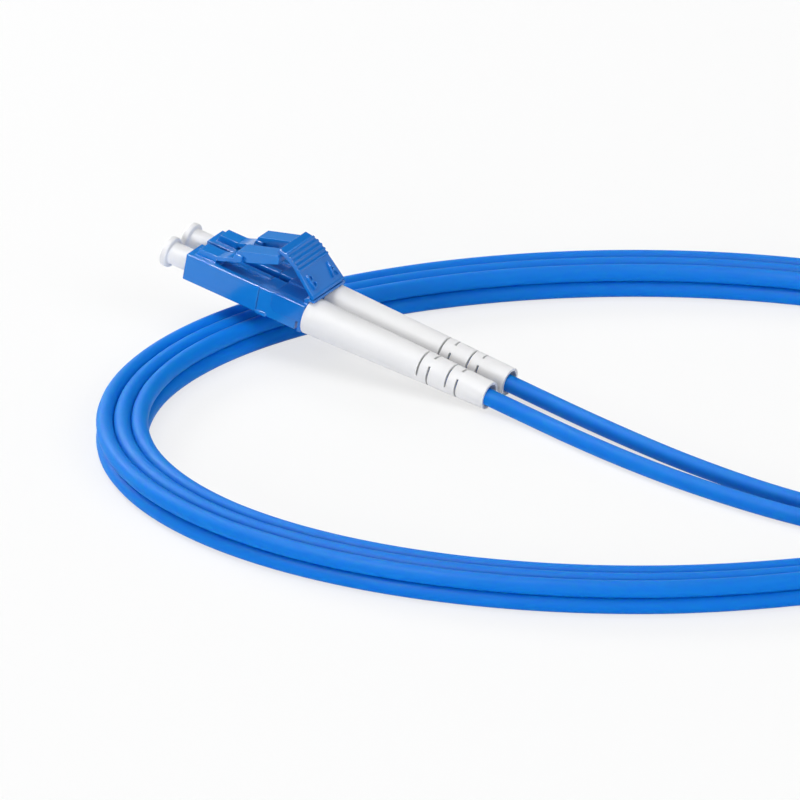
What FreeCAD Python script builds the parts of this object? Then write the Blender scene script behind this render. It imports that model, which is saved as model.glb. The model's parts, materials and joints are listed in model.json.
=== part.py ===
import FreeCAD, Part

# Duplex fibre patch cord: two latched twin plugs on a pair of cables that lie in a loop.
# Millimetres, +Z up, the floor at Z = 0 and the origin under the middle of the whole cord.
# A plug is drawn in its own axes: +X to the mating end, +Y to its left, +Z to the latch side,
# with X = 0 at the front face of the housings and the two fibres at Y = plus and minus half a pitch.

import math
import os

from FreeCAD import Placement, Rotation, Vector

os.makedirs("parts", exist_ok=True)

# Plug bodies
pitch = 6.25
body = 4.65
housing_length = 13.9
edge_break = 0.12
front_lead = 0.12
seam_gap = 0.12
fit = 0.05
seat = 0.03

# Ferrule, its metal flange and the spring behind it
ferrule_d = 1.25
ferrule_length = 6.4
ferrule_reach = 1.9
ferrule_lead = 0.2
ferrule_clear = 0.15
mouth_d = 3.0
mouth_depth = 2.2
shoulder = 0.8
cavity_d = 2.9
flange_d = 2.5
flange_length = 1.6
stem_d = 1.3
stem_length = 3.0
buffer_d = 0.9
buffer_clear = 0.3
ferrule_travel = 1.2
spring_d = 2.4
spring_wire = 0.3
spring_turns = 4
spring_sides = 6

# Rear body, its crimp post and the crimp sleeve
stop_nose = 4.0
clip_setback = 2.6
clip_length = 6.15
rear_gap = 0.5
post_length = 8.4
sleeve_length = 13.5
sleeve_wall = 0.42
lug_length = 1.9
lug_height = 0.55
lug_proud = 0.25

# Latch on top of each housing
latch_width = 2.6
latch_pad_width = 3.1
latch_lug_width = 3.6
latch_neck_width = 2.1
latch_root_front = 1.1
latch_root_rise = 1.25
latch_root_slope = 0.55
latch_pivot = 4.9
latch_thickness = 0.7
latch_rise = 0.39
latch_bend = 0.8
latch_bend_steps = 4
latch_shoulder = 7.9
latch_step_run = 0.65
latch_step_thickness = 2.2
latch_pad_thickness = 1.42
latch_lug_start = 8.1
latch_lug_end = 9.65
latch_lug_lift = 0.1
latch_lug_height = 1.1
latch_neck = 0.7
latch_length = 16.1
latch_tail_cut = 0.35
latch_split = 0.03
channel_width = 2.4
channel_depth = 0.35
channel_start = 5.6

# Duplex clip and its trigger
clip_proud = 0.2
clip_wall = 0.65
clip_roof = 0.45
clip_skirt = 3.2
skirt_corner = 0.7
clip_rear_wall = 0.75
rail_width = 1.3
rail_height = 0.2
middle_rail_width = 1.2
ledge_depth = 1.85
ledge_width = 9.4
hinge_r = 0.42
trigger_root_back = 0.5
trigger_root_rise = 1.6
trigger_lower = 5.5
trigger_lower_angle = 41.5
trigger_bend_radius = 6.0
trigger_bend_steps = 5
trigger_tip_flat = 0.7
trigger_tip_angle = 10.0
trigger_thickness = 0.75
trigger_width_tip = 8.0
trigger_width_root = 9.4
rib_count = 5
rib_pitch = 0.8
rib_width = 0.5
rib_height = 0.2
rib_first = 4.75

# Boots
boot_length = 34.0
boot_front_d = 6.15
boot_tail_d = 4.6
boot_bore_tail = 3.7
boot_step = 15.0
slit_width = 0.35
slit_half_angle = 72
slit_from_tail = 6.85
slit_pitch = 5.25
slit_cross_step = 1.85
slit_turn = 57
boot_sides = 20

# Dust caps
cap_flange_d = 5.1
cap_flange = 1.1
cap_neck_d = 3.7
cap_reach = 4.65
cap_seat_gap = 0.05

# Cables and their loop
cable_d = 2.8
cable_sides = 6
bend_share = 0.45
cable_in_boot = 11.0
cable_past_tail = 3.0
sag_in_boot = 0.08
sag_past_tail = 0.42
loop_half_length = 81.7
loop_half_width = 60.4
loop_end_radius = 50.0
loop_columns = 3
loop_levels = 2
column_gap = 0.1

# Where the two plugs lie: the near one across the loop, the far one beside it
near_inset = 12.45
near_drop = 14.82
near_heading = 148.6
near_tilt = 10.6
far_gap = 0.5
far_nose_y = 42.6
far_heading = 90.0

# Stations along a plug, worked out from the sizes above
x_seam = -housing_length
x_clip_front = x_seam - clip_setback
x_clip_rear = x_clip_front - clip_length
x_rear_body_end = x_clip_rear + clip_rear_wall + fit
x_boot_front = x_clip_rear - fit
x_tail = x_boot_front - boot_length
x_shoulder_rear = -mouth_depth - shoulder
x_flange_front = x_shoulder_rear - seat
x_flange_rear = x_flange_front - flange_length
x_stop_front = x_seam + stop_nose
x_post_end = x_rear_body_end - post_length
x_sleeve_front = x_clip_rear - 2 * fit
x_sleeve_rear = x_sleeve_front - sleeve_length
half = body / 2
fibre_bore = buffer_d + 2 * fit
sleeve_bore = cable_d + fit
sleeve_flats = sleeve_bore + 2 * sleeve_wall
trigger_root = (x_clip_rear - trigger_root_back, half + trigger_root_rise)


def corner_reach(flats, sides):
    """From the middle of a regular polygon to a corner."""
    return flats / 2 / math.cos(math.pi / sides)


# The far plug lies along the taper of its boots
boot_front_reach = corner_reach(boot_front_d, boot_sides)
boot_tail_reach = corner_reach(boot_tail_d, boot_sides)
far_tilt = math.degrees(math.atan2(boot_front_reach - boot_tail_reach, boot_length))

# The loop and the far plug beside it are centred on the origin
loop_width = loop_columns * (cable_d + column_gap)
far_width = pitch + 2 * boot_front_reach
loop_center = Vector(-(far_gap + far_width) / 2, 0, 0)
near_nose = Vector(near_inset - loop_half_length, loop_half_width - near_drop, 0)
far_nose = Vector(loop_half_length + loop_width / 2 + far_gap + far_width / 2, far_nose_y, 0)


def block(x0, x1, y0, y1, z0, z1):
    """A box between two corners, whichever way round they are given."""
    low = Vector(min(x0, x1), min(y0, y1), min(z0, z1))
    return Part.makeBox(abs(x1 - x0), abs(y1 - y0), abs(z1 - z0), low)


def rod(diameter, x0, x1):
    """A round bar along a fibre axis."""
    return Part.makeCylinder(diameter / 2, abs(x1 - x0), Vector(min(x0, x1), 0, 0), Vector(1, 0, 0))


def polygon(x, flats, sides):
    """A regular polygon square to a fibre axis, measured across its flats."""
    reach = corner_reach(flats, sides)
    turns = [2 * math.pi * n / sides for n in range(sides)]
    corners = [Vector(x, reach * math.cos(t), reach * math.sin(t)) for t in turns]
    return Part.makePolygon(corners + corners[:1])


def bar(sides, flats, x0, x1):
    """A bar along a fibre axis with a regular polygon for its section."""
    return Part.Face(polygon(min(x0, x1), flats, sides)).extrude(Vector(abs(x1 - x0), 0, 0))


def outline(points):
    """A closed face through points in the X-Z plane."""
    corners = [Vector(x, 0, z) for x, z in points]
    return Part.Face(Part.makePolygon(corners + corners[:1]))


def turned(points):
    """A solid of revolution about a fibre axis, from (x, radius) points."""
    return outline(points).revolve(Vector(0, 0, 0), Vector(1, 0, 0), 360)


def across(points, width):
    """A side profile of (x, z) points given a width, centred on Y = 0."""
    face = outline(points)
    face.translate(Vector(0, -width / 2, 0))
    return face.extrude(Vector(0, width, 0))


def along_edges(shape, test):
    """The edges of a shape that a test on their two ends accepts."""
    return [e for e in shape.Edges if len(e.Vertexes) == 2 and test(*[v.Point for v in e.Vertexes])]


def runs_along_x(a, b):
    """True for an edge that is parallel to the fibre axes."""
    return abs(a.y - b.y) < 1e-6 and abs(a.z - b.z) < 1e-6


def make_housing():
    """Front housing: square tube with a shoulder for the flange, a latch root and a top channel."""
    shell = block(x_seam, 0, -half, half, -half, half)
    shell = shell.makeChamfer(edge_break, along_edges(shell, runs_along_x))
    front = [e for e in shell.Edges if all(abs(v.Point.x) < 1e-6 for v in e.Vertexes)]
    shell = shell.makeChamfer(front_lead, front)
    root_top = half + latch_root_rise
    root = across(
        [
            (-latch_root_front, half - edge_break),
            (-latch_root_front - latch_root_slope, root_top),
            (-latch_pivot, root_top),
            (-latch_pivot, half - edge_break),
        ],
        latch_width,
    )
    shell = shell.fuse(root).removeSplitter()
    shell = shell.cut(rod(mouth_d, 0, -mouth_depth))
    shell = shell.cut(rod(ferrule_d + 2 * ferrule_clear, 0, x_shoulder_rear))
    shell = shell.cut(bar(6, cavity_d, x_shoulder_rear, x_seam))
    side = channel_width / 2
    return shell.cut(block(-channel_start, x_seam, -side, side, half - channel_depth, half))


def latch_pivot_z():
    """Height of the line that a latch arm bends about, along the lower edge of its front end."""
    return half + latch_root_rise - latch_thickness


def make_latch():
    """Latch arm: it curves up to the rear, with side lugs, a narrow neck and a thick pad."""
    under = latch_pivot_z()
    arm_front = -latch_pivot - latch_split
    pad_end = -latch_length
    step_top = -latch_shoulder - latch_step_run

    def underside(x):
        """Height of the underside of the arm, which bends up and then rises evenly."""
        run = arm_front - x
        bent = min(run, latch_bend)
        return under + latch_rise * (run - bent) + latch_rise * bent**2 / (2 * latch_bend)

    bend = [arm_front - latch_bend * n / latch_bend_steps for n in range(latch_bend_steps + 1)]
    lower = [(x, underside(x)) for x in bend]
    upper = [(x, z + latch_thickness) for x, z in lower]
    tail_top = underside(pad_end) + latch_pad_thickness
    pad = [
        (pad_end, underside(pad_end)),
        (pad_end, tail_top - latch_tail_cut),
        (pad_end + latch_tail_cut, tail_top),
        (step_top, underside(step_top) + latch_step_thickness),
        (-latch_shoulder, underside(-latch_shoulder) + latch_thickness),
    ]
    side = across(lower + pad + upper[::-1], latch_lug_width)
    lug_front = -latch_lug_start
    lug_rear = -latch_lug_end
    lug_under = underside(lug_rear) + latch_lug_lift
    lug_top = lug_under + latch_lug_height
    plan = [
        block(arm_front, lug_front, -latch_width / 2, latch_width / 2, under, tail_top),
        block(lug_front, pad_end, -latch_pad_width / 2, latch_pad_width / 2, under, tail_top),
        block(lug_front, lug_rear, -latch_lug_width / 2, latch_lug_width / 2, lug_under, lug_top),
    ]
    latch = side.common(plan[0].multiFuse(plan[1:])).removeSplitter()
    for edge in (-1, 1):
        neck_y = edge * latch_neck_width / 2
        lug_y = edge * latch_lug_width
        latch = latch.cut(block(lug_rear, lug_rear - latch_neck, neck_y, lug_y, under, lug_top))
    return latch


def make_ferrule():
    """Ceramic ferrule with a chamfered tip."""
    tip = ferrule_reach
    rear = tip - ferrule_length
    radius = ferrule_d / 2
    lead = (tip, radius - ferrule_lead)
    return turned([(rear, 0), (rear, radius), (tip - ferrule_lead, radius), lead, (tip, 0)])


def make_ferrule_flange():
    """Six-sided metal flange that holds the ferrule, with a stem that the spring slips over."""
    ferrule_rear = ferrule_reach - ferrule_length
    stem_end = x_flange_rear - stem_length
    flange = bar(6, flange_d, x_flange_rear, x_flange_front)
    flange = flange.fuse(bar(6, stem_d, stem_end, x_flange_rear)).removeSplitter()
    flange = flange.cut(rod(ferrule_d, ferrule_rear - seat, x_flange_front))
    return flange.cut(bar(6, fibre_bore, stem_end, ferrule_rear))


def make_spring():
    """Coil spring between the flange and the stop nose, of square wire in straight facets."""
    radius = (spring_d - spring_wire) / 2
    wire = spring_wire / 2
    first = x_stop_front + wire + seat
    length = x_flange_rear - x_stop_front - spring_wire - 2 * seat
    count = spring_turns * spring_sides
    sections = []
    for n in range(count + 1):
        turn = 2 * math.pi * n / spring_sides
        out = Vector(0, math.cos(turn), math.sin(turn))
        centre = Vector(first + length * n / count, 0, 0) + out * radius
        signs = ((-1, -1), (1, -1), (1, 1), (-1, 1))
        corners = [centre + Vector(a * wire, 0, 0) + out * (b * wire) for a, b in signs]
        sections.append(Part.makePolygon(corners + corners[:1]))
    return Part.makeLoft(sections, True, True)


def skirt_block(x_rear, y0, y1, top):
    """A block behind the clip's front, as deep as its walls, with their cut lower front corner."""
    skirt_z = half + clip_proud - clip_skirt
    shape = block(x_clip_front, x_rear, y0, y1, skirt_z, top)

    def at_corner(a, b):
        """True for the lower front edge."""
        return all(abs(p.x - x_clip_front) < 1e-6 and abs(p.z - skirt_z) < 1e-6 for p in (a, b))

    return shape.makeChamfer(skirt_corner, along_edges(shape, at_corner))


def make_rear_body():
    """Rear body: stop nose for the spring, block behind the seam and crimp post."""
    x_front = x_seam - seam_gap
    x_block_end = x_rear_body_end + rear_gap
    shell = block(x_front, x_block_end, -half, half, -half, half)
    shell = shell.makeChamfer(edge_break, along_edges(shell, runs_along_x))
    rebate = half - clip_wall + clip_proud
    roof_z = half + clip_proud - clip_roof
    lug_front = x_front - seat
    lug_top = -half + lug_height
    for side in (-1, 1):
        shell = shell.cut(skirt_block(x_block_end, side * rebate, side * body, body))
        root_y = side * (half - edge_break)
        lug_y = side * (half + lug_proud)
        shell = shell.fuse(block(lug_front, lug_front - lug_length, root_y, lug_y, -half, lug_top))
    shell = shell.cut(block(x_clip_front, x_block_end, -body, body, roof_z, body))
    shell = shell.fuse(bar(6, cavity_d - 2 * fit, x_front, x_stop_front))
    shell = shell.fuse(bar(6, cable_d, x_block_end, x_post_end)).removeSplitter()
    return shell.cut(bar(6, fibre_bore, x_stop_front, x_post_end))


def make_crimp_sleeve():
    """Six-sided crimped tube that clamps the cable jacket behind the post."""
    sleeve = bar(6, sleeve_flats, x_sleeve_front, x_sleeve_rear)
    return sleeve.cut(bar(6, sleeve_bore, x_sleeve_front, x_sleeve_rear))


def make_fibre_buffer():
    """Buffered fibre from the crimp to the back of the ferrule."""
    front = ferrule_reach - ferrule_length - seat - ferrule_travel - buffer_clear
    return bar(8, buffer_d, front, x_post_end)


def slit(x, turn):
    """Slit through the boot's wall, with ends that point at the axis."""
    angles = [math.radians(turn + bend) for bend in (-slit_half_angle, 0, slit_half_angle)]
    rim = [Vector(x, boot_front_d * math.cos(a), boot_front_d * math.sin(a)) for a in angles]
    axis = Vector(x, 0, 0)
    return Part.Face(Part.makePolygon([axis] + rim + [axis])).extrude(Vector(slit_width, 0, 0))


def make_boot():
    """Tapered boot with crossed pairs of through slits in its tail."""
    ends = [polygon(x_boot_front, boot_front_d, boot_sides), polygon(x_tail, boot_tail_d, boot_sides)]
    boot = Part.makeLoft(ends, True, True)
    boot = boot.cut(bar(boot_sides, boot_bore_tail, x_boot_front, x_tail))
    boot = boot.cut(bar(6, sleeve_flats + 2 * fit, x_boot_front, x_boot_front - boot_step))
    for n in range(2):
        station = x_tail + slit_from_tail + n * slit_pitch
        for x, turn in ((station, slit_turn), (station - slit_cross_step, slit_turn + 90)):
            for side in (0, 180):
                boot = boot.cut(slit(x, turn + side))
    return boot


def make_dust_cap():
    """Dust cap: a neck with a blind bore over the ferrule, and a gripping flange."""
    neck_r = cap_neck_d / 2
    rim_r = cap_flange_d / 2
    bore_r = ferrule_d / 2 + fit
    blind = ferrule_reach + 2 * ferrule_clear
    back = cap_reach - cap_flange
    return turned(
        [
            (cap_seat_gap, bore_r),
            (cap_seat_gap, neck_r),
            (back, neck_r),
            (back, rim_r),
            (cap_reach, rim_r),
            (cap_reach, 0),
            (blind, 0),
            (blind, bore_r),
        ]
    )


def make_clip():
    """Duplex clip: a saddle over both rear bodies, with a rear wall and the ledge for the trigger."""
    side = (pitch + body) / 2 + clip_proud
    top = half + clip_proud
    skirt_z = top - clip_skirt
    wall_front = x_clip_rear + clip_rear_wall
    clip = skirt_block(wall_front, -side, side, top)
    channel = half - clip_wall + clip_proud + fit
    channel_top = top - clip_roof + fit
    for y in (-pitch / 2, pitch / 2):
        clip = clip.cut(block(x_clip_front, wall_front, y - channel, y + channel, skirt_z, channel_top))
        inner = math.copysign(middle_rail_width / 2, y)
        outer = math.copysign(side - rail_width, y)
        recess_z = top - rail_height
        clip = clip.cut(block(x_clip_front + rail_height, wall_front, inner, outer, recess_z, top))
    wall = block(wall_front, x_clip_rear, -side, side, -half, top)
    clip = clip.fuse(wall.makeChamfer(edge_break, along_edges(wall, runs_along_x)))
    ledge_y = ledge_width / 2
    ledge_top = trigger_root[1] - hinge_r / 2
    ledge_rear = wall_front - ledge_depth
    clip = clip.fuse(block(wall_front, x_clip_rear, -ledge_y, ledge_y, half, ledge_top))
    ledge_under = boot_front_reach + fit
    clip = clip.fuse(block(wall_front, ledge_rear, -ledge_y, ledge_y, ledge_under, ledge_top))
    post_y = corner_reach(cable_d, 6) + fit
    post_z = cable_d / 2 + fit
    for y in (-pitch / 2, pitch / 2):
        clip = clip.cut(block(wall_front, x_clip_rear, y - post_y, y + post_y, -half, post_z))
    socket = Part.makeCylinder(
        hinge_r + fit,
        ledge_width,
        Vector(trigger_root[0], -ledge_y, trigger_root[1]),
        Vector(0, 1, 0),
    )
    swing = across(
        [
            (trigger_root[0], ledge_top + hinge_r),
            (wall_front, ledge_top - hinge_r),
            (wall_front, ledge_top + hinge_r),
        ],
        ledge_width,
    )
    return clip.cut(socket).cut(swing).removeSplitter()


def trigger_spine(run, out):
    """A point of the trigger plate.

    run is its distance from the hinge along the middle of the plate: straight, then bent over,
    then straight to the tip. out is its distance from that middle, towards the finger side.
    """
    bend_run = math.radians(trigger_lower_angle - trigger_tip_angle) * trigger_bend_radius
    bent = min(max(run - trigger_lower, 0), bend_run)
    lower = math.radians(trigger_lower_angle)
    angle = lower - bent / trigger_bend_radius
    past = max(run - trigger_lower - bend_run, 0)
    straight = min(run, trigger_lower)
    x = trigger_root[0] + straight * math.cos(lower) + past * math.cos(angle)
    z = trigger_root[1] + straight * math.sin(lower) + past * math.sin(angle)
    x += trigger_bend_radius * (math.sin(lower) - math.sin(angle)) - out * math.sin(angle)
    z += trigger_bend_radius * (math.cos(angle) - math.cos(lower)) + out * math.cos(angle)
    return (x, z)


def make_trigger():
    """Trigger: a curved plate that leans over the latch pads, with finger ribs across its bend."""
    bend_run = math.radians(trigger_lower_angle - trigger_tip_angle) * trigger_bend_radius
    bend = [trigger_lower + bend_run * n / trigger_bend_steps for n in range(trigger_bend_steps + 1)]
    tip = bend[-1] + trigger_tip_flat
    skin = trigger_thickness / 2
    finger_side = [trigger_spine(0, skin)]
    for n in range(rib_count):
        middle = rib_first + n * rib_pitch
        finger_side += [
            trigger_spine(middle - rib_width / 2, skin),
            trigger_spine(middle - rib_width / 4, skin + rib_height),
            trigger_spine(middle + rib_width / 4, skin + rib_height),
            trigger_spine(middle + rib_width / 2, skin),
        ]
    finger_side += [trigger_spine(bend[-1], skin), trigger_spine(tip, skin)]
    latch_side = [trigger_spine(run, -skin) for run in [0] + bend + [tip]]
    plate = across(finger_side + latch_side[::-1], trigger_width_root)
    root_x, root_z = trigger_root
    bead = Part.makeCylinder(
        hinge_r,
        trigger_width_root,
        Vector(root_x, -trigger_width_root / 2, root_z),
        Vector(0, 1, 0),
    )
    plate = plate.fuse(bead).removeSplitter()
    wide = root_x - 2 * hinge_r
    narrow = trigger_spine(tip, 0)[0] + 2 * hinge_r
    plan = [
        Vector(wide, -trigger_width_root / 2, 0),
        Vector(narrow, -trigger_width_tip / 2, 0),
        Vector(narrow, trigger_width_tip / 2, 0),
        Vector(wide, trigger_width_root / 2, 0),
    ]
    taper = Part.Face(Part.makePolygon(plan + plan[:1])).extrude(Vector(0, 0, 3 * body))
    return plate.common(taper)


def plug_place(nose, heading, tilt):
    """Where a plug lies: its boot tails on the floor, its front face over the given point."""
    turn = Rotation(Vector(0, 0, 1), heading).multiply(Rotation(Vector(0, 1, 0), -tilt))
    slope = math.radians(tilt)
    rise = boot_tail_reach / math.cos(slope) - x_tail * math.sin(slope)
    return Placement(loop_center + nose + Vector(0, 0, rise), turn)


def loop_ring():
    """The loop of cable: an oval ring of four tangent arcs, as wide and high as its turns."""
    width = loop_width
    height = loop_levels * cable_d
    a, b, r = loop_half_length, loop_half_width, loop_end_radius
    side_radius = ((a - r) ** 2 + b**2 - r**2) / (2 * (b - r))
    end_angle = math.degrees(math.atan2(side_radius - b, a - r))
    arcs = (
        (Vector(a - r, 0, 0), r, -end_angle, 2 * end_angle),
        (Vector(0, b - side_radius, 0), side_radius, end_angle, 180 - 2 * end_angle),
        (Vector(r - a, 0, 0), r, 180 - end_angle, 2 * end_angle),
        (Vector(0, side_radius - b, 0), side_radius, 180 + end_angle, 180 - 2 * end_angle),
    )
    stretches = []
    for centre, radius, start, sweep in arcs:
        face = outline(
            [
                (radius - width / 2, 0),
                (radius + width / 2, 0),
                (radius + width / 2, height),
                (radius - width / 2, height),
            ]
        )
        face.rotate(Vector(0, 0, 0), Vector(0, 0, 1), start)
        face.translate(centre)
        stretches.append(face.revolve(centre, Vector(0, 0, 1), sweep))
    ring = stretches[0].multiFuse(stretches[1:]).removeSplitter()
    ring.translate(loop_center)
    return ring


def cable(name, points):
    """A cable along straight runs joined by the largest tangent arcs that the runs allow."""
    edges, radii, start = [], [], points[0]
    for before, corner, after in zip(points, points[1:], points[2:]):
        back = (before - corner).normalize()
        on = (after - corner).normalize()
        half_turn = (math.pi - back.getAngle(on)) / 2
        setback = bend_share * min((before - corner).Length, (after - corner).Length)
        radius = setback / math.tan(half_turn)
        radii.append(radius)
        enter, leave = corner + back * setback, corner + on * setback
        middle = corner + (back + on).normalize() * (radius / math.cos(half_turn) - radius)
        edges += [Part.makeLine(start, enter), Part.Arc(enter, middle, leave).toShape()]
        start = leave
    edges.append(Part.makeLine(start, points[-1]))
    path = Part.Wire(edges)
    section = polygon(0, cable_d * math.cos(math.pi / cable_sides), cable_sides)
    area = Part.Face(section).Area
    section.Placement = Placement(points[0], Rotation(Vector(1, 0, 0), points[1] - points[0]))
    tube = path.makePipeShell([section], True, False)
    share = tube.Volume / (area * path.Length)
    print(name, "length %.1f" % path.Length, "volume / (section x length) %.4f" % share)
    print("  radii", " ".join("%.0f" % r for r in radii))
    return tube


def laid(shape, place):
    """A copy of a plug piece where its plug lies."""
    copy = shape.copy()
    copy.Placement = place.multiply(copy.Placement)
    return copy


near_place = plug_place(near_nose, near_heading, near_tilt)
far_place = plug_place(far_nose, far_heading, far_tilt)

# Each cable runs inside its boot, sags to the bottom of the tail bore, then follows its route,
# given from the middle of the loop.
x_cable_start = x_post_end - seat
x_in_boot = x_tail + cable_in_boot
x_past_tail = x_tail - cable_past_tail
low_z = cable_d / 2
high_z = low_z + cable_d
near_routes = {
    "a": [
        (-5.4, 3.8, low_z),
        (8.6, -10.8, low_z),
        (25.4, -24.7, low_z),
        (43.5, -34.5, 1.6),
        (61, -33.8, 3.7),
        (72.5, -22.5, high_z),
    ],
    "b": [
        (-6, -4.5, low_z),
        (8.4, -18.1, low_z),
        (25.3, -30.6, low_z),
        (43, -39.5, low_z),
        (62, -35.5, low_z),
        (72.5, -22.5, low_z),
    ],
}
far_routes = {
    "a": [
        (89, -29.5, low_z),
        (81.5, -40, 1.5),
        (67.5, -46, 2.4),
        (51.5, -52, 4),
        (34, -57.9, high_z),
    ],
    "b": [
        (95, -31.5, low_z),
        (86, -43, low_z),
        (70, -50, low_z),
        (52, -54.2, low_z),
        (34, -57.9, low_z),
    ],
}
plug_side = {"a": -pitch / 2, "b": pitch / 2}


def leg(name, place, y, route):
    """One leg of the cord, from the crimp inside a plug to where it joins the loop."""
    local = [(x_cable_start, 0), (x_in_boot, -sag_in_boot), (x_past_tail, -sag_past_tail)]
    inside = [place.multVec(Vector(x, y, z)) for x, z in local]
    return cable(name, inside + [loop_center + Vector(*p) for p in route])


parts = {"cable_loop": loop_ring()}
for key in ("a", "b"):
    parts["near_leg_" + key] = leg("near_leg_" + key, near_place, plug_side[key], near_routes[key])
    parts["far_leg_" + key] = leg("far_leg_" + key, far_place, -plug_side[key], far_routes[key])

single_pieces = {
    "housing": make_housing(),
    "latch": make_latch(),
    "ferrule": make_ferrule(),
    "ferrule_flange": make_ferrule_flange(),
    "spring": make_spring(),
    "rear_body": make_rear_body(),
    "crimp_sleeve": make_crimp_sleeve(),
    "fibre_buffer": make_fibre_buffer(),
    "boot": make_boot(),
    "dust_cap": make_dust_cap(),
}
pair_pieces = {"clip": make_clip(), "trigger": make_trigger()}

for end, place in (("near", near_place), ("far", far_place)):
    for piece, shape in single_pieces.items():
        for key, y in plug_side.items():
            beside = Placement(Vector(0, y, 0), Rotation())
            parts["%s_%s_%s" % (end, piece, key)] = laid(shape, place.multiply(beside))
    for piece, shape in pair_pieces.items():
        parts["%s_%s" % (end, piece)] = laid(shape, place)

for name, shape in parts.items():
    shape.exportStep("parts/%s.step" % name)
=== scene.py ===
"""Looks of a duplex fibre patch cord: twin plugs, boots, dust caps and a loop of paired blue cable."""

import json
import logging
import math
from collections.abc import Iterable
from dataclasses import dataclass
from enum import Enum

import bmesh
import bpy
from mathutils import Matrix, Vector


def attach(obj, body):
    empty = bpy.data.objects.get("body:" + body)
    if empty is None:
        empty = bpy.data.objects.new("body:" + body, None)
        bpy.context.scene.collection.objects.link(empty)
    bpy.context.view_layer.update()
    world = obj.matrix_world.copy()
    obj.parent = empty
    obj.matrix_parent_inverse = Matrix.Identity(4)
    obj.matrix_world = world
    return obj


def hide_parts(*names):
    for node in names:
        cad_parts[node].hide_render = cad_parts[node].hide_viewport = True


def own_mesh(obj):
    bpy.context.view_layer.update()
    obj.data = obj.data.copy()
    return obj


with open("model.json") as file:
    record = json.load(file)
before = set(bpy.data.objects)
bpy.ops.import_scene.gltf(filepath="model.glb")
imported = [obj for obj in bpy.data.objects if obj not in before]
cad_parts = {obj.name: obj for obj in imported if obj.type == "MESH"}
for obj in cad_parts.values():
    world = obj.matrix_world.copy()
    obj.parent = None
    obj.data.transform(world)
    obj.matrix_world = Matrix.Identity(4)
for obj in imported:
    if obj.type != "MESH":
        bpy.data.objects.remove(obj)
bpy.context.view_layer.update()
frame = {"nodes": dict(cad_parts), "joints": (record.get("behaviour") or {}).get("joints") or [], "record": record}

ROOT_BODY = "cord"
EDGE_RADIUS = "edge_radius"
JOINTS = {joint["name"]: joint for joint in frame["joints"]}
MOUNTS = {mount["name"]: mount for mount in frame["record"]["mounts"]}
LOG = logging.getLogger("patch_cord")

MM = 0.001
FULL_TURN = 360.0
WHITE = (1.0, 1.0, 1.0, 1.0)

# Corners of a solid's loose triangles that lie this close together are one corner.
MERGE_REACH = 0.002 * MM

# The noise that makes tones and grain drift, and the span of it that the gloss range is spread over.
CLOUD_DETAIL = 3.0
GRAIN_DETAIL = 4.0
NOISE_LOW = 0.3
NOISE_HIGH = 0.7

Colour = tuple[float, float, float]
Point = tuple[float, float, float]


class End(Enum):
    """The two ends of the cord."""

    NEAR = "near"
    FAR = "far"


class Side(Enum):
    """The two fibres of a twin plug, seen from behind it: a on the right, b on the left."""

    A = "a"
    B = "b"

    @property
    def other(self) -> "Side":
        """The side beside this one."""
        return Side.B if self is Side.A else Side.A


class Slot(Enum):
    """The record's material slots."""

    BLUE_HOUSING = "blue_housing"
    BLUE_CLIP = "blue_clip"
    WHITE_BOOT = "white_boot"
    WHITE_CAP = "white_cap"
    FERRULE_CERAMIC = "ferrule_ceramic"
    FLANGE_METAL = "flange_metal"
    SPRING_STEEL = "spring_steel"
    CRIMP_METAL = "crimp_metal"
    BUFFER_COAT = "buffer_coat"
    BLUE_JACKET = "blue_jacket"


def link(piece: bpy.types.Object) -> bpy.types.Object:
    """Puts a new object in the scene and gives it back."""
    bpy.context.scene.collection.objects.link(piece)
    return piece


def merged_solid(node: str) -> bmesh.types.BMesh:
    """Copies the solid of a node and merges its loose triangles.

    Args:
        node: Name of the node.

    Returns:
        The copy, to be shaped further.
    """
    work = bmesh.new()
    work.from_mesh(frame["nodes"][node].data)
    bmesh.ops.remove_doubles(work, verts=work.verts, dist=MERGE_REACH)
    return work


def finished_piece(name: str, work: bmesh.types.BMesh) -> bpy.types.Object:
    """Puts a shaped mesh in the scene as an object at the origin.

    Args:
        name: Name of the piece.
        work: The mesh, which is freed.

    Returns:
        The new object.
    """
    mesh = bpy.data.meshes.new(name)
    work.to_mesh(mesh)
    work.free()
    return link(bpy.data.objects.new(name, mesh))


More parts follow.
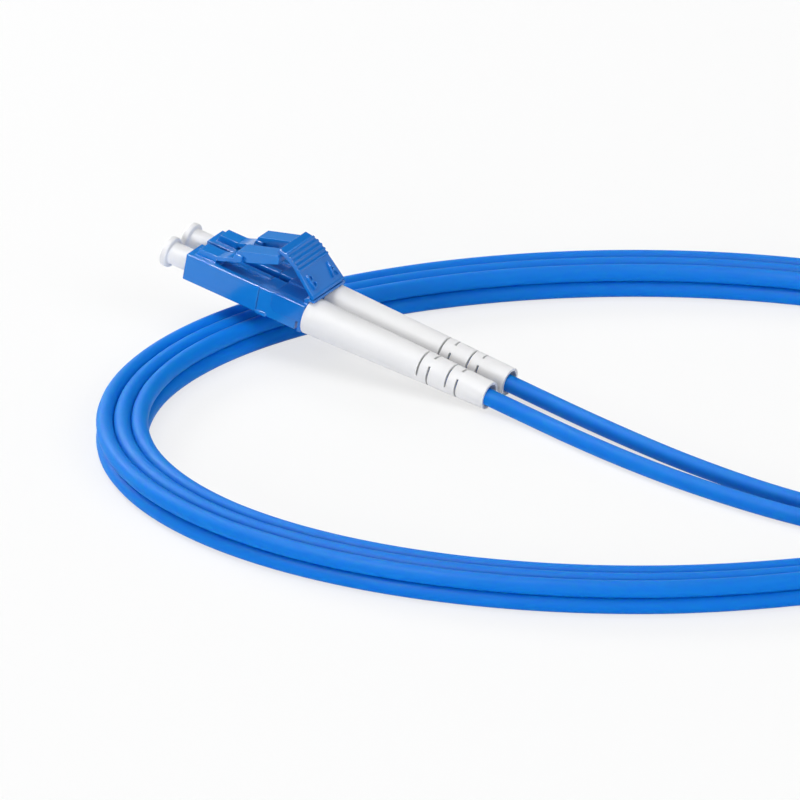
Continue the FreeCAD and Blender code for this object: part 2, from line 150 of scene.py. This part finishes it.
def surface_drift_group() -> bpy.types.NodeTree:
    """Builds the shared effect of every finish: slow tone drift, gloss drift and fine grain.

    Returns:
        A shader node group with the outputs Color, Roughness and Height.
    """
    tree = bpy.data.node_groups.new("surface_drift", "ShaderNodeTree")
    sockets = (
        ("Vector", "INPUT", "NodeSocketVector"),
        ("Light Tone", "INPUT", "NodeSocketColor"),
        ("Deep Tone", "INPUT", "NodeSocketColor"),
        ("Cloud Scale", "INPUT", "NodeSocketFloat"),
        ("Grain Scale", "INPUT", "NodeSocketFloat"),
        ("Gloss Low", "INPUT", "NodeSocketFloat"),
        ("Gloss High", "INPUT", "NodeSocketFloat"),
        ("Color", "OUTPUT", "NodeSocketColor"),
        ("Roughness", "OUTPUT", "NodeSocketFloat"),
        ("Height", "OUTPUT", "NodeSocketFloat"),
    )
    for name, direction, kind in sockets:
        tree.interface.new_socket(name=name, in_out=direction, socket_type=kind)
    given = tree.nodes.new("NodeGroupInput")
    made = tree.nodes.new("NodeGroupOutput")
    clouds = tree.nodes.new("ShaderNodeTexNoise")
    clouds.inputs["Detail"].default_value = CLOUD_DETAIL
    grain = tree.nodes.new("ShaderNodeTexNoise")
    grain.inputs["Detail"].default_value = GRAIN_DETAIL
    tone = tree.nodes.new("ShaderNodeMix")
    tone.data_type = "RGBA"
    gloss = tree.nodes.new("ShaderNodeMapRange")
    gloss.inputs["From Min"].default_value = NOISE_LOW
    gloss.inputs["From Max"].default_value = NOISE_HIGH
    wires = tree.links.new
    wires(given.outputs["Vector"], clouds.inputs["Vector"])
    wires(given.outputs["Vector"], grain.inputs["Vector"])
    wires(given.outputs["Cloud Scale"], clouds.inputs["Scale"])
    wires(given.outputs["Grain Scale"], grain.inputs["Scale"])
    wires(clouds.outputs["Fac"], tone.inputs["Factor"])
    wires(given.outputs["Light Tone"], tone.inputs["A"])
    wires(given.outputs["Deep Tone"], tone.inputs["B"])
    wires(clouds.outputs["Fac"], gloss.inputs["Value"])
    wires(given.outputs["Gloss Low"], gloss.inputs["To Min"])
    wires(given.outputs["Gloss High"], gloss.inputs["To Max"])
    wires(tone.outputs["Result"], made.inputs["Color"])
    wires(gloss.outputs["Result"], made.inputs["Roughness"])
    wires(grain.outputs["Fac"], made.inputs["Height"])
    return tree


DRIFT = surface_drift_group()


@dataclass(frozen=True)
class Finish:
    """A finish whose tone, gloss and grain drift over the surface.

    Sizes of the pattern are in metres; gloss is a pair of roughness values. Where a piece carries
    an edge radius of its own, its edges shade as round as that.
    """

    slot: Slot
    light: Colour
    deep: Colour
    gloss: tuple[float, float]
    cloud: float = 6 * MM
    grain: float = 0.12 * MM
    grain_depth: float = 0.004 * MM
    metallic: float = 0.0
    specular: float = 0.5
    subsurface: float = 0.0
    subsurface_reach: float = 0.8 * MM
    subsurface_spread: Colour = (1.0, 1.0, 1.0)
    edge_samples: int = 8

    def make(self) -> bpy.types.Material:
        """Builds the material.

        Returns:
            A node material that reads Object coordinates.
        """
        material = bpy.data.materials.new(self.slot.value)
        material.use_nodes = True
        nodes = material.node_tree.nodes
        wires = material.node_tree.links.new
        shader = nodes["Principled BSDF"]
        place = nodes.new("ShaderNodeTexCoord")
        drift = nodes.new("ShaderNodeGroup")
        drift.node_tree = DRIFT
        drift.inputs["Light Tone"].default_value = (*self.light, 1.0)
        drift.inputs["Deep Tone"].default_value = (*self.deep, 1.0)
        drift.inputs["Cloud Scale"].default_value = 1.0 / self.cloud
        drift.inputs["Grain Scale"].default_value = 1.0 / self.grain
        drift.inputs["Gloss Low"].default_value = self.gloss[0]
        drift.inputs["Gloss High"].default_value = self.gloss[1]
        radius = nodes.new("ShaderNodeAttribute")
        radius.attribute_name = EDGE_RADIUS
        edges = nodes.new("ShaderNodeBevel")
        edges.samples = self.edge_samples
        bump = nodes.new("ShaderNodeBump")
        bump.inputs["Distance"].default_value = self.grain_depth
        wires(radius.outputs["Fac"], edges.inputs["Radius"])
        wires(edges.outputs["Normal"], bump.inputs["Normal"])
        wires(place.outputs["Object"], drift.inputs["Vector"])
        wires(drift.outputs["Color"], shader.inputs["Base Color"])
        wires(drift.outputs["Roughness"], shader.inputs["Roughness"])
        wires(drift.outputs["Height"], bump.inputs["Height"])
        wires(bump.outputs["Normal"], shader.inputs["Normal"])
        shader.inputs["Metallic"].default_value = self.metallic
        shader.inputs["Specular IOR Level"].default_value = self.specular
        shader.inputs["Subsurface Weight"].default_value = self.subsurface
        shader.inputs["Subsurface Scale"].default_value = self.subsurface_reach
        shader.inputs["Subsurface Radius"].default_value = self.subsurface_spread
        return material


FINISHES = (
    Finish(Slot.BLUE_HOUSING, (0.007, 0.205, 0.650), (0.006, 0.188, 0.610), (0.09, 0.15)),
    Finish(Slot.BLUE_CLIP, (0.006, 0.178, 0.610), (0.005, 0.162, 0.575), (0.09, 0.15)),
    Finish(
        Slot.WHITE_BOOT,
        (0.79, 0.79, 0.795),
        (0.77, 0.77, 0.775),
        (0.42, 0.52),
        specular=0.15,
        subsurface=0.1,
    ),
    Finish(
        Slot.WHITE_CAP,
        (0.79, 0.79, 0.795),
        (0.77, 0.77, 0.775),
        (0.34, 0.44),
        specular=0.15,
        subsurface=0.1,
    ),
    Finish(Slot.FERRULE_CERAMIC, (0.80, 0.79, 0.75), (0.77, 0.76, 0.72), (0.10, 0.16)),
    Finish(Slot.FLANGE_METAL, (0.60, 0.60, 0.61), (0.52, 0.52, 0.54), (0.24, 0.36), metallic=1.0),
    Finish(Slot.SPRING_STEEL, (0.50, 0.51, 0.53), (0.44, 0.45, 0.47), (0.22, 0.34), metallic=1.0),
    Finish(Slot.CRIMP_METAL, (0.70, 0.60, 0.40), (0.62, 0.52, 0.34), (0.26, 0.4), metallic=1.0),
    Finish(Slot.BUFFER_COAT, (0.78, 0.74, 0.60), (0.74, 0.70, 0.56), (0.4, 0.5)),
    Finish(
        Slot.BLUE_JACKET,
        (0.003, 0.195, 0.680),
        (0.002, 0.178, 0.640),
        (0.46, 0.54),
        grain=0.3 * MM,
        specular=0.08,
        subsurface=0.6,
        subsurface_reach=1.2 * MM,
        subsurface_spread=(0.1, 0.2, 1.0),
    ),
)


class Palette:
    """The finishes of the record's material slots, each made once."""

    def __init__(self) -> None:
        """Makes the material of each slot."""
        self.slots: dict[Slot, bpy.types.Material] = {each.slot: each.make() for each in FINISHES}

    def dress(self, piece: bpy.types.Object, slot: Slot) -> None:
        """Gives a piece the finish of a slot, in place of what it had."""
        piece.data.materials.clear()
        piece.data.materials.append(self.slots[slot])

    def dress_solids(self) -> None:
        """Gives every solid of the frame the finish of its slot."""
        for part in frame["record"]["subparts"]:
            self.dress(frame["nodes"][part["node"]], Slot(part["material_slot"]))

    def settle(self, piece: bpy.types.Object, slot: Slot, body: str) -> None:
        """Dresses a new piece and sets it on the body that it moves with.

        Args:
            piece: The new piece.
            slot: Slot that it takes its finish from.
            body: Name of the body.
        """
        self.dress(piece, slot)
        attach(piece, body)


CABLE = 2.8 * MM

# Heights of the middle of a cable on the floor, and of one that lies on another.
LOW = CABLE / 2
HIGH = LOW + CABLE


@dataclass(frozen=True)
class Route:
    """Points of one cable before and after its turns, given in metres.

    Points in the boots are in the row frame, and points of the legs are from the middle of the loop.
    """

    near_boot: tuple[Point, ...]
    near_leg: tuple[Point, ...]
    far_leg: tuple[Point, ...]
    far_boot: tuple[Point, ...]
    turns_height: float
    exit: Point
    stands_for: tuple[str, ...]


ROUTES = {
    Side.A: Route(
        near_boot=((-0.03576, 0.02485, 0.0043), (-0.02407, 0.01771, 0.00139)),
        near_leg=(
            (-0.0054, 0.0038, LOW),
            (0.0086, -0.0108, LOW),
            (0.0254, -0.0247, LOW),
            (0.0435, -0.0345, 0.0016),
            (0.061, -0.0338, 0.0037),
            (0.0725, -0.0225, HIGH),
        ),
        far_leg=(
            (0.034, -0.0579, HIGH),
            (0.0515, -0.052, 0.004),
            (0.0675, -0.046, 0.0024),
            (0.0815, -0.040, 0.0015),
            (0.089, -0.0295, LOW),
        ),
        far_boot=((0.08317, -0.01707, 0.00183), (0.08317, -0.00309, 0.00249)),
        turns_height=HIGH,
        exit=(-0.02659, 0.01925, 0.00194),
        stands_for=("cable_loop", "near_leg_a", "far_leg_a"),
    ),
    Side.B: Route(
        near_boot=((-0.03902, 0.01952, 0.0043), (-0.02733, 0.01238, 0.00139)),
        near_leg=(
            (-0.006, -0.0045, LOW),
            (0.0084, -0.0181, LOW),
            (0.0253, -0.0306, LOW),
            (0.043, -0.0395, LOW),
            (0.062, -0.0355, LOW),
            (0.0725, -0.0225, LOW),
        ),
        far_leg=(
            (0.034, -0.0579, LOW),
            (0.052, -0.0542, LOW),
            (0.070, -0.050, LOW),
            (0.086, -0.043, LOW),
            (0.095, -0.0315, LOW),
        ),
        far_boot=((0.08942, -0.01707, 0.00183), (0.08942, -0.00309, 0.00249)),
        turns_height=LOW,
        exit=(-0.02984, 0.01392, 0.00194),
        stands_for=("near_leg_b", "far_leg_b"),
    ),
}


def eased(share: float) -> float:
    """Eases a share in and out, from 0 at or below 0 to 1 at or above 1.

    Args:
        share: How much of the way is done.

    Returns:
        The eased share.
    """
    held = min(max(share, 0.0), 1.0)
    return held * held * (3.0 - 2.0 * held)


@dataclass
class CablePair:
    """The two cables of the cord, from the near boots through the loop to the far boots.

    Each cable is one smooth line: it leaves a boot, joins the inside of the loop, moves out one column
    each turn, just before it comes round to where its leg joined, and leaves the outside of the loop
    for the other plug. Cable a lies on cable b.
    """

    diameter: float = CABLE
    centre: Vector = Vector((-0.00647, 0.0, 0.0))
    half_length: float = 81.7 * MM
    half_width: float = 60.4 * MM
    columns: int = 3
    column_pitch: float = 2.76 * MM
    points_per_turn: int = 24
    point_weight: float = 0.75
    start_degrees: float = -23.0
    end_degrees: float = 1014.0
    shift_start_degrees: float = 288.0
    shift_degrees: float = 34.0
    length: float = 1.5
    line_steps: int = 8
    round_steps: int = 5

    def column(self, degrees: float) -> float:
        """Column of the loop at an angle along the turns.

        Args:
            degrees: Angle from the +X end of the loop, growing from turn to turn.

        Returns:
            -1 in the inner column, 0 in the middle one and 1 in the outer one.
        """
        column = (1 - self.columns) / 2
        for turn in range(self.columns - 1):
            past_shift = degrees - self.shift_start_degrees - FULL_TURN * turn
            column += eased(past_shift / self.shift_degrees)
        return column

    def turns(self, height: float) -> list[Vector]:
        """Points of the turns of one cable, between its two legs.

        A smooth line passes inside its control points, so they stand out by as much. Nearest to a
        point, that point counts by point_weight and its two neighbours share the rest.

        Args:
            height: Height of the cable's middle in the loop.

        Returns:
            Points from the middle of the loop, worked out turn by turn.
        """
        step = FULL_TURN / self.points_per_turn
        neighbours = (1.0 - self.point_weight) * math.cos(math.radians(step))
        swell = 1.0 / (self.point_weight + neighbours)
        count = int((self.end_degrees - self.start_degrees) / step)
        points = []
        for n in range(1, count):
            degrees = self.start_degrees + n * step
            out = self.column(degrees) * self.column_pitch
            angle = math.radians(degrees)
            x = (self.half_length + out) * swell * math.cos(angle)
            y = (self.half_width + out) * swell * math.sin(angle)
            points.append(Vector((x, y, height)))
        return points

    def points(self, route: Route) -> list[Vector]:
        """Control points of one cable, in the row frame.

        Args:
            route: The given points.

        Returns:
            Points from the near boot to the far boot.
        """
        near_leg = [Vector(point) for point in route.near_leg]
        far_leg = [Vector(point) for point in route.far_leg]
        around = near_leg + self.turns(route.turns_height) + far_leg
        line = [Vector(point) for point in route.near_boot]
        line += [self.centre + point for point in around]
        line += [Vector(point) for point in route.far_boot]
        return line

    def lay(self, name: str, points: list[Vector]) -> bpy.types.Object:
        """Makes one cable along its control points.

        Args:
            name: Name of the piece.
            points: Control points of its line, in the row frame.

        Returns:
            A curve object with a round section.
        """
        curve = bpy.data.curves.new(name, "CURVE")
        curve.dimensions = "3D"
        curve.resolution_u = self.line_steps
        curve.bevel_depth = self.diameter / 2
        curve.bevel_resolution = self.round_steps
        curve.use_fill_caps = True
        spline = curve.splines.new("NURBS")
        spline.points.add(len(points) - 1)
        for knot, point in zip(spline.points, points):
            knot.co = (*point, 1.0)
        spline.order_u = 3
        spline.use_endpoint_u = True
        return link(bpy.data.objects.new(name, curve))

    def build(self, palette: Palette) -> dict[Side, bpy.types.Object]:
        """Makes both cables and dresses them.

        Args:
            palette: Finishes of the record's slots.

        Returns:
            The cable of each side of the near plug.
        """
        cables = {}
        for side, route in ROUTES.items():
            piece = self.lay(f"cable_{side.value}", self.points(route))
            palette.settle(piece, Slot.BLUE_JACKET, ROOT_BODY)
            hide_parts(*route.stands_for)
            cables[side] = piece
        return cables


@dataclass(frozen=True)
class PlugAxes:
    """Own axes of a twin plug: forward to the mating end, left across it, up to the latches."""

    forward: Vector
    left: Vector

    @property
    def up(self) -> Vector:
        """Square to the plug, on its latch side."""
        return self.forward.cross(self.left)

    def along(self, x: float, y: float, z: float) -> Vector:
        """A direction of the plug, given along its own axes, in the row frame."""
        return self.forward * x + self.left * y + self.up * z


@dataclass(frozen=True)
class Mould:
    """A moulded piece: its solid, the body it moves with, its finish and how round its edges are."""

    node: str
    body: str
    slot: Slot
    edge: float


@dataclass
class TwinPlug:
    """One end of the cord: two latched plugs under a clip, with boots and dust caps.

    Each moulded piece has its own edge radius. Edges sharper than a limit are rounded, and faces that
    are flat to each other are one face first.
    """

    end: End
    housing_edge: float = 0.25 * MM
    rear_body_edge: float = 0.15 * MM
    latch_edge: float = 0.15 * MM
    boot_edge: float = 0.1 * MM
    cap_edge: float = 0.2 * MM
    clip_edge: float = 0.18 * MM
    trigger_edge: float = 0.12 * MM
    edge_segments: int = 3
    sharp_degrees: float = 50.0
    flat_degrees: float = 0.6
    split_reach: float = 0.04 * MM
    trigger_degrees: float = 41.5
    plate_thickness: float = 0.75 * MM
    letter_height: float = 2.6 * MM
    letter_height_share: float = 0.7
    letter_narrowing: float = 0.72
    letter_relief: float = 0.3 * MM
    letter_round: float = 0.08 * MM
    letter_round_steps: int = 2
    letter_run: float = 2.07 * MM
    letter_spread: float = 3.0 * MM

    def shared(self, word: str) -> str:
        """Name of a node, body, joint or mount of the whole twin plug."""
        return f"{self.end.value}_{word}"

    def single(self, word: str, side: Side) -> str:
        """Name of a node or body of one side."""
        return f"{self.end.value}_{word}_{side.value}"

    def axes(self) -> PlugAxes:
        """Reads the plug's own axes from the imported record.

        Returns:
            The axes, in the row frame.
        """
        port = MOUNTS[self.shared("plug_port")]
        press = JOINTS[self.shared("trigger_press")]
        return PlugAxes(Vector(port["axis"]), Vector(press["axis"]))

    def hinge(self, name: str) -> Vector:
        """Place of one of the plug's hinges, in the row frame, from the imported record."""
        return Vector(JOINTS[self.shared(name)]["pos_m"])

    def from_split(self, vert: bmesh.types.BMVert) -> float:
        """How far a corner lies, along the plug, from where the latches' bending webs are cut.

        Args:
            vert: The corner.

        Returns:
            The distance, never negative.
        """
        split = self.hinge(f"latch_{Side.A.value}_bend")
        return abs((vert.co - split).dot(self.axes().forward))

    def softened(self, mould: Mould, palette: Palette) -> bpy.types.Object:
        """Makes the finished form of a moulded piece: its solid with rounded edges.

        Edges where a bending web is cut stay sharp, so that the web looks whole.

        Args:
            mould: What is made, and how round its edges are.
            palette: Finishes of the record's slots.

        Returns:
            The new piece, which stands for the solid.
        """
        work = merged_solid(mould.node)
        radius = work.verts.layers.float.new(EDGE_RADIUS)
        bmesh.ops.dissolve_limit(
            work,
            angle_limit=math.radians(self.flat_degrees),
            verts=work.verts,
            edges=work.edges,
        )
        limit = math.radians(self.sharp_degrees)
        sharp = []
        for edge in work.edges:
            if all(self.from_split(vert) < self.split_reach for vert in edge.verts):
                edge.smooth = False
            elif len(edge.link_faces) == 2 and edge.calc_face_angle() > limit:
                sharp.append(edge)
        bmesh.ops.bevel(
            work,
            geom=sharp,
            offset=mould.edge,
            segments=self.edge_segments,
            profile=0.5,
            affect="EDGES",
            clamp_overlap=True,
            material=-1,
        )
        for face in work.faces:
            face.smooth = True
        for vert in work.verts:
            off_split = self.from_split(vert) > self.split_reach
            vert[radius] = mould.edge * off_split
        piece = finished_piece(f"{mould.node}_moulded", work)
        normals = piece.modifiers.new("normals", "WEIGHTED_NORMAL")
        normals.keep_sharp = True
        palette.settle(piece, mould.slot, mould.body)
        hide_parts(mould.node)
        return piece

    def spring(self, side: Side, palette: Palette) -> bpy.types.Object:
        """Makes a ferrule's spring as a piece with a mesh of its own.

        Args:
            side: The fibre that the ferrule is for.
            palette: Finishes of the record's slots.

        Returns:
            The new piece, which stands for the solid.
        """
        node = self.single("spring", side)
        work = merged_solid(node)
        piece = finished_piece(f"{node}_coil", work)
        palette.settle(piece, Slot.SPRING_STEEL, ROOT_BODY)
        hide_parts(node)
        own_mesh(piece)
        return piece

    def letter_mesh(self, mark: str) -> bpy.types.Mesh:
        """Makes a letter as a flat raised mesh around the origin.

        Args:
            mark: The letter.

        Returns:
            The mesh, which faces +Z.
        """
        text = bpy.data.curves.new(self.shared(f"mark_{mark}"), "FONT")
        text.body = mark
        text.size = self.letter_height / self.letter_height_share
        text.extrude = self.letter_relief
        text.bevel_depth = self.letter_round
        text.offset = -self.letter_round / 2
        text.bevel_resolution = self.letter_round_steps
        text.align_x = "CENTER"
        text.align_y = "CENTER"
        source = link(bpy.data.objects.new("mark_source", text))
        bpy.context.view_layer.update()
        graph = bpy.context.evaluated_depsgraph_get()
        mesh = bpy.data.meshes.new_from_object(source.evaluated_get(graph))
        bpy.data.objects.remove(source)
        return mesh

    def letter(self, mark: str, y: float, palette: Palette) -> bpy.types.Object:
        """Raises a fibre's mark on the lower half of the trigger.

        Args:
            mark: The letter.
            y: Place of its middle across the plug.
            palette: Finishes of the record's slots.

        Returns:
            The letter, which moves with the trigger.
        """
        mesh = self.letter_mesh(mark)
        axes = self.axes()
        run = math.cos(math.radians(self.trigger_degrees))
        rise = math.sin(math.radians(self.trigger_degrees))
        right = axes.along(0.0, -self.letter_narrowing, 0.0)
        upward = axes.along(run, 0.0, rise)
        outward = axes.along(-rise, 0.0, run)
        foot = self.hinge("trigger_press") + axes.along(0.0, y, 0.0)
        middle = foot + upward * self.letter_run + outward * self.plate_thickness / 2
        turn = Matrix((right, upward, outward)).transposed().to_4x4()
        mesh.transform(Matrix.Translation(middle) @ turn)
        piece = link(bpy.data.objects.new(self.shared(f"mark_{mark}"), mesh))
        palette.settle(piece, Slot.BLUE_CLIP, self.shared("trigger"))
        return piece

    def single_plug(self, side: Side, palette: Palette) -> list[bpy.types.Object]:
        """Makes the finished pieces of one side.

        Args:
            side: The fibre that they are for.
            palette: Finishes of the record's slots.

        Returns:
            Its moulded pieces, its spring and the solids that stay.
        """
        housing = self.single("housing", side)
        rear_body = self.single("rear_body", side)
        latch = self.single("latch", side)
        boot = self.single("boot", side)
        cap = self.single("dust_cap", side)
        moulds = (
            Mould(housing, ROOT_BODY, Slot.BLUE_HOUSING, self.housing_edge),
            Mould(rear_body, ROOT_BODY, Slot.BLUE_HOUSING, self.rear_body_edge),
            Mould(latch, latch, Slot.BLUE_HOUSING, self.latch_edge),
            Mould(boot, ROOT_BODY, Slot.WHITE_BOOT, self.boot_edge),
            Mould(cap, cap, Slot.WHITE_CAP, self.cap_edge),
        )
        pieces = [self.softened(mould, palette) for mould in moulds]
        pieces.append(self.spring(side, palette))
        for inner in ("ferrule", "ferrule_flange", "crimp_sleeve", "fibre_buffer"):
            pieces.append(frame["nodes"][self.single(inner, side)])
        return pieces

    def build(self, palette: Palette) -> dict[Side, list[bpy.types.Object]]:
        """Makes the finished pieces of the plug.

        Args:
            palette: Finishes of the record's slots.

        Returns:
            The pieces of each side; those that join both sides are with side a.
        """
        pieces = {side: self.single_plug(side, palette) for side in Side}
        clip = self.shared("clip")
        trigger = self.shared("trigger")
        moulds = (
            Mould(clip, ROOT_BODY, Slot.BLUE_CLIP, self.clip_edge),
            Mould(trigger, trigger, Slot.BLUE_CLIP, self.trigger_edge),
        )
        pieces[Side.A] += [self.softened(mould, palette) for mould in moulds]
        pieces[Side.A].append(self.letter("A", -self.letter_spread, palette))
        pieces[Side.A].append(self.letter("B", self.letter_spread, palette))
        return pieces


@dataclass(frozen=True)
class Lamp:
    """A soft flat lamp that faces the middle of the view.

    Its place is from there, its size is length and width, and its length follows a direction as near as
    facing the view lets it. A card is seen only in gloss: it lights nothing.
    """

    name: str
    place: Vector
    size: tuple[float, float]
    watts: float
    along: Vector = Vector((1.0, 0.0, 0.0))
    card: bool = False

    def hang(self, middle: Vector) -> None:
        """Hangs the lamp.

        Args:
            middle: Middle of the view, which the lamp faces.
        """
        data = bpy.data.lights.new(self.name, "AREA")
        data.shape = "RECTANGLE"
        data.size, data.size_y = self.size
        data.energy = self.watts
        lamp = link(bpy.data.objects.new(self.name, data))
        back = self.place.normalized()
        across = back.cross(self.along).normalized()
        lamp.location = middle + self.place
        lamp.rotation_euler = Matrix((across.cross(back), across, back)).transposed().to_euler()
        lamp.visible_diffuse = not self.card


LAMPS = (
    Lamp("back", Vector((-0.8, 0.98, 0.68)), (0.5, 0.5), 11.0),
    Lamp("front", Vector((-0.6, -1.25, 0.3)), (1.0, 0.45), 8.6),
    Lamp("top", Vector((-0.3, 0.1, 1.3)), (1.0, 1.0), 9.4),
    Lamp("fill", Vector((0.8, -0.8, 0.9)), (0.9, 0.9), 7.5),
    Lamp("side", Vector((1.08, 0.48, 0.42)), (0.5, 0.5), 0.45, card=True),
    Lamp("sheen", Vector((-0.4, 1.0, 0.7)), (0.8, 0.5), 5.0, card=True),
    Lamp(
        "edge",
        Vector((-0.58, -0.37, 1.04)),
        (0.9, 0.18),
        26.0,
        along=Vector((0.525, 0.668, 0.528)),
        card=True,
    ),
)


@dataclass
class Studio:
    """Pale floor, soft light and the camera."""

    elevation_degrees: float = 24.5
    distance: float = 4.0
    view_width: float = 127.0 * MM
    view_middle: Vector = Vector((-0.04407, 0.0, 0.0))
    view_lift: float = 7.22 * MM
    view_reach: float = 20.0
    sensor: float = 36.0
    floor_half: float = 3.0
    floor_glow: float = 0.7
    floor_paint: float = 0.86
    dome_low: float = 1.0
    dome_high: float = 0.08
    dome_edge: float = 0.35

    def seen_share(self, tree: bpy.types.NodeTree, share: float) -> bpy.types.NodeSocket:
        """Adds the nodes that tell where a surface is seen, directly, mirrored or through glass.

        Args:
            tree: Node tree that gets the nodes.
            share: Value where the surface is seen.

        Returns:
            A socket that holds the share on such rays and zero on all others.
        """
        path = tree.nodes.new("ShaderNodeLightPath")
        value = path.outputs["Is Camera Ray"]
        for ray in ("Is Glossy Ray", "Is Transmission Ray"):
            either = tree.nodes.new("ShaderNodeMath")
            either.operation = "MAXIMUM"
            tree.links.new(value, either.inputs[0])
            tree.links.new(path.outputs[ray], either.inputs[1])
            value = either.outputs["Value"]
        scaled = tree.nodes.new("ShaderNodeMath")
        scaled.operation = "MULTIPLY"
        scaled.inputs[1].default_value = share
        tree.links.new(value, scaled.inputs[0])
        return scaled.outputs["Value"]

    def floor_material(self) -> bpy.types.Material:
        """Builds the floor's white, which keeps the shadows of what stands on it.

        Returns:
            A material that is plain white paint, lifted towards white where it is seen.
        """
        material = bpy.data.materials.new("floor_white")
        material.use_nodes = True
        nodes = material.node_tree.nodes
        wires = material.node_tree.links.new
        nodes.clear()
        out = nodes.new("ShaderNodeOutputMaterial")
        paint = nodes.new("ShaderNodeBsdfDiffuse")
        paint.inputs["Color"].default_value = (*[self.floor_paint] * 3, 1.0)
        glow = nodes.new("ShaderNodeEmission")
        glow.inputs["Color"].default_value = WHITE
        glow.inputs["Strength"].default_value = 1.0
        blend = nodes.new("ShaderNodeMixShader")
        wires(self.seen_share(material.node_tree, self.floor_glow), blend.inputs["Fac"])
        wires(paint.outputs["BSDF"], blend.inputs[1])
        wires(glow.outputs["Emission"], blend.inputs[2])
        wires(blend.outputs["Shader"], out.inputs["Surface"])
        return material

    def floor(self) -> None:
        """Lays the floor that the cord lies on."""
        work = bmesh.new()
        bmesh.ops.create_grid(work, x_segments=1, y_segments=1, size=self.floor_half)
        floor = finished_piece("floor", work)
        floor.data.materials.append(self.floor_material())

    def world(self) -> None:
        """Fills the room with a pale dome, white at its foot and dimmer overhead."""
        world = bpy.data.worlds.new("room")
        world.use_nodes = True
        nodes = world.node_tree.nodes
        wires = world.node_tree.links.new
        sky = nodes["Background"]
        sky.inputs["Color"].default_value = WHITE
        place = nodes.new("ShaderNodeTexCoord")
        split = nodes.new("ShaderNodeSeparateXYZ")
        level = nodes.new("ShaderNodeMapRange")
        level.inputs["From Max"].default_value = self.dome_edge
        level.inputs["To Min"].default_value = self.dome_low
        level.inputs["To Max"].default_value = self.dome_high
        wires(place.outputs["Generated"], split.inputs["Vector"])
        wires(split.outputs["Z"], level.inputs["Value"])
        wires(level.outputs["Result"], sky.inputs["Strength"])
        bpy.context.scene.world = world

    def camera(self) -> None:
        """Sets a long lens that looks down on the cord along +Y."""
        tilt = math.radians(self.elevation_degrees)
        data = bpy.data.cameras.new("camera")
        data.sensor_width = self.sensor
        data.lens = self.sensor * self.distance / self.view_width
        data.clip_end = self.view_reach
        camera = link(bpy.data.objects.new("camera", data))
        lift = Vector((0.0, math.sin(tilt), math.cos(tilt))) * self.view_lift
        back = Vector((0.0, -math.cos(tilt), math.sin(tilt)))
        camera.location = self.view_middle + lift + back * self.distance
        camera.rotation_euler = (math.pi / 2 - tilt, 0.0, 0.0)
        bpy.context.scene.camera = camera

    def build(self) -> None:
        """Sets the floor, the light and the camera."""
        self.floor()
        self.world()
        for lamp in LAMPS:
            lamp.hang(self.view_middle)
        self.camera()
        bpy.context.scene.view_settings.view_transform = "Standard"


def report(pieces: Iterable[bpy.types.Object]) -> None:
    """Reports each piece, and what it is made of, in the log."""
    for piece in pieces:
        LOG.info("%s in %s", piece.name, piece.data.materials[0].name)


def main() -> None:
    """Builds the cord's looks and the studio around it."""
    logging.basicConfig(level=logging.INFO, format="%(name)s: %(message)s")
    palette = Palette()
    palette.dress_solids()
    Studio().build()
    pair = CablePair()
    cables = pair.build(palette)
    report(cables.values())
    plugs = {end: TwinPlug(end).build(palette) for end in End}
    for sides in plugs.values():
        for pieces in sides.values():
            report(pieces)


if __name__ == "__main__":
    main()
